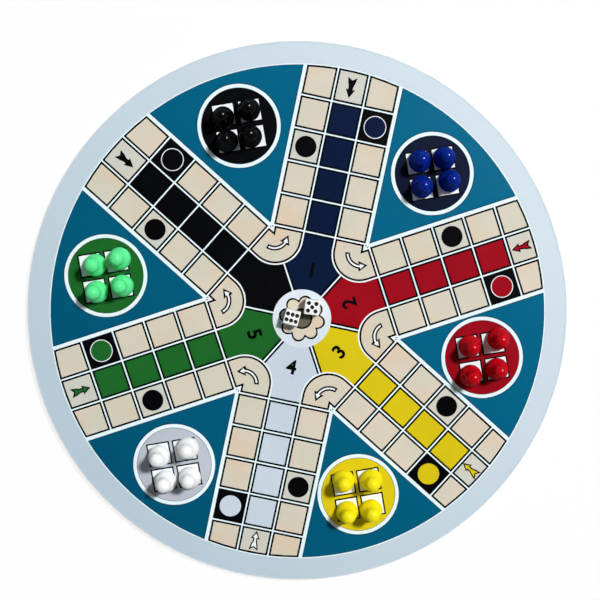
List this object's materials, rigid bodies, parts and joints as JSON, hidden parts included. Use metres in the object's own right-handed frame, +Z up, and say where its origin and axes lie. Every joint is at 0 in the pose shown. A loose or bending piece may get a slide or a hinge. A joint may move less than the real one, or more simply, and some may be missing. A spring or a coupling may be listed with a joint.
{
  "type": "ludo board set",
  "caption": "Round rigid race-game board with a printed track of radiating arms, hollow moulded pawns standing in their home circles, and dice; every playing piece lifts off.",
  "frame": {"origin": "middle of the board's underside", "axes": "+Z up out of the printed face; +Y along the track arm between the black and the blue home"},
  "size_m": [0.3999, 0.4, 0.0318],
  "materials": {
    "fibreboard": "matte",
    "printed_laminate": "gloss",
    "plain_laminate": "satin",
    "edge_plastic": "satin",
    "blue_plastic": "gloss",
    "red_plastic": "gloss",
    "yellow_plastic": "gloss",
    "white_plastic": "gloss",
    "green_plastic": "gloss",
    "black_plastic": "gloss",
    "dice_plastic": "gloss"
  },
  "bodies": {
    "board": {"board_core": "fibreboard", "printed_sheet": "printed_laminate", "backing_sheet": "plain_laminate", "edge_band": "edge_plastic"},
    "pawn_blue_1": {"pawn_blue_1": "blue_plastic"},
    "pawn_blue_2": {"pawn_blue_2": "blue_plastic"},
    "pawn_blue_3": {"pawn_blue_3": "blue_plastic"},
    "pawn_blue_4": {"pawn_blue_4": "blue_plastic"},
    "pawn_red_1": {"pawn_red_1": "red_plastic"},
    "pawn_red_2": {"pawn_red_2": "red_plastic"},
    "pawn_red_3": {"pawn_red_3": "red_plastic"},
    "pawn_red_4": {"pawn_red_4": "red_plastic"},
    "pawn_yellow_1": {"pawn_yellow_1": "yellow_plastic"},
    "pawn_yellow_2": {"pawn_yellow_2": "yellow_plastic"},
    "pawn_yellow_3": {"pawn_yellow_3": "yellow_plastic"},
    "pawn_yellow_4": {"pawn_yellow_4": "yellow_plastic"},
    "pawn_white_1": {"pawn_white_1": "white_plastic"},
    "pawn_white_2": {"pawn_white_2": "white_plastic"},
    "pawn_white_3": {"pawn_white_3": "white_plastic"},
    "pawn_white_4": {"pawn_white_4": "white_plastic"},
    "pawn_green_1": {"pawn_green_1": "green_plastic"},
    "pawn_green_2": {"pawn_green_2": "green_plastic"},
    "pawn_green_3": {"pawn_green_3": "green_plastic"},
    "pawn_green_4": {"pawn_green_4": "green_plastic"},
    "pawn_black_1": {"pawn_black_1": "black_plastic"},
    "pawn_black_2": {"pawn_black_2": "black_plastic"},
    "pawn_black_3": {"pawn_black_3": "black_plastic"},
    "pawn_black_4": {"pawn_black_4": "black_plastic"},
    "die_1": {"die_1": "dice_plastic"},
    "die_2": {"die_2": "dice_plastic"}
  },
  "joints": [
    {"name": "pawn_blue_1_lift", "type": "slide", "parent": "board", "child": "pawn_blue_1", "axis": [0, 0, 1], "range_m": [0, 0.05]},
    {"name": "pawn_blue_2_lift", "type": "slide", "parent": "board", "child": "pawn_blue_2", "axis": [0, 0, 1], "range_m": [0, 0.05]},
    {"name": "pawn_blue_3_lift", "type": "slide", "parent": "board", "child": "pawn_blue_3", "axis": [0, 0, 1], "range_m": [0, 0.05]},
    {"name": "pawn_blue_4_lift", "type": "slide", "parent": "board", "child": "pawn_blue_4", "axis": [0, 0, 1], "range_m": [0, 0.05]},
    {"name": "pawn_red_1_lift", "type": "slide", "parent": "board", "child": "pawn_red_1", "axis": [0, 0, 1], "range_m": [0, 0.05]},
    {"name": "pawn_red_2_lift", "type": "slide", "parent": "board", "child": "pawn_red_2", "axis": [0, 0, 1], "range_m": [0, 0.05]},
    {"name": "pawn_red_3_lift", "type": "slide", "parent": "board", "child": "pawn_red_3", "axis": [0, 0, 1], "range_m": [0, 0.05]},
    {"name": "pawn_red_4_lift", "type": "slide", "parent": "board", "child": "pawn_red_4", "axis": [0, 0, 1], "range_m": [0, 0.05]},
    {"name": "pawn_yellow_1_lift", "type": "slide", "parent": "board", "child": "pawn_yellow_1", "axis": [0, 0, 1], "range_m": [0, 0.05]},
    {"name": "pawn_yellow_2_lift", "type": "slide", "parent": "board", "child": "pawn_yellow_2", "axis": [0, 0, 1], "range_m": [0, 0.05]},
    {"name": "pawn_yellow_3_lift", "type": "slide", "parent": "board", "child": "pawn_yellow_3", "axis": [0, 0, 1], "range_m": [0, 0.05]},
    {"name": "pawn_yellow_4_lift", "type": "slide", "parent": "board", "child": "pawn_yellow_4", "axis": [0, 0, 1], "range_m": [0, 0.05]},
    {"name": "pawn_white_1_lift", "type": "slide", "parent": "board", "child": "pawn_white_1", "axis": [0, 0, 1], "range_m": [0, 0.05]},
    {"name": "pawn_white_2_lift", "type": "slide", "parent": "board", "child": "pawn_white_2", "axis": [0, 0, 1], "range_m": [0, 0.05]},
    {"name": "pawn_white_3_lift", "type": "slide", "parent": "board", "child": "pawn_white_3", "axis": [0, 0, 1], "range_m": [0, 0.05]},
    {"name": "pawn_white_4_lift", "type": "slide", "parent": "board", "child": "pawn_white_4", "axis": [0, 0, 1], "range_m": [0, 0.05]},
    {"name": "pawn_green_1_lift", "type": "slide", "parent": "board", "child": "pawn_green_1", "axis": [0, 0, 1], "range_m": [0, 0.05]},
    {"name": "pawn_green_2_lift", "type": "slide", "parent": "board", "child": "pawn_green_2", "axis": [0, 0, 1], "range_m": [0, 0.05]},
    {"name": "pawn_green_3_lift", "type": "slide", "parent": "board", "child": "pawn_green_3", "axis": [0, 0, 1], "range_m": [0, 0.05]},
    {"name": "pawn_green_4_lift", "type": "slide", "parent": "board", "child": "pawn_green_4", "axis": [0, 0, 1], "range_m": [0, 0.05]},
    {"name": "pawn_black_1_lift", "type": "slide", "parent": "board", "child": "pawn_black_1", "axis": [0, 0, 1], "range_m": [0, 0.05]},
    {"name": "pawn_black_2_lift", "type": "slide", "parent": "board", "child": "pawn_black_2", "axis": [0, 0, 1], "range_m": [0, 0.05]},
    {"name": "pawn_black_3_lift", "type": "slide", "parent": "board", "child": "pawn_black_3", "axis": [0, 0, 1], "range_m": [0, 0.05]},
    {"name": "pawn_black_4_lift", "type": "slide", "parent": "board", "child": "pawn_black_4", "axis": [0, 0, 1], "range_m": [0, 0.05]},
    {"name": "die_1_lift", "type": "slide", "parent": "board", "child": "die_1", "axis": [0, 0, 1], "range_m": [0, 0.05]},
    {"name": "die_2_lift", "type": "slide", "parent": "board", "child": "die_2", "axis": [0, 0, 1], "range_m": [0, 0.05]}
  ]
}
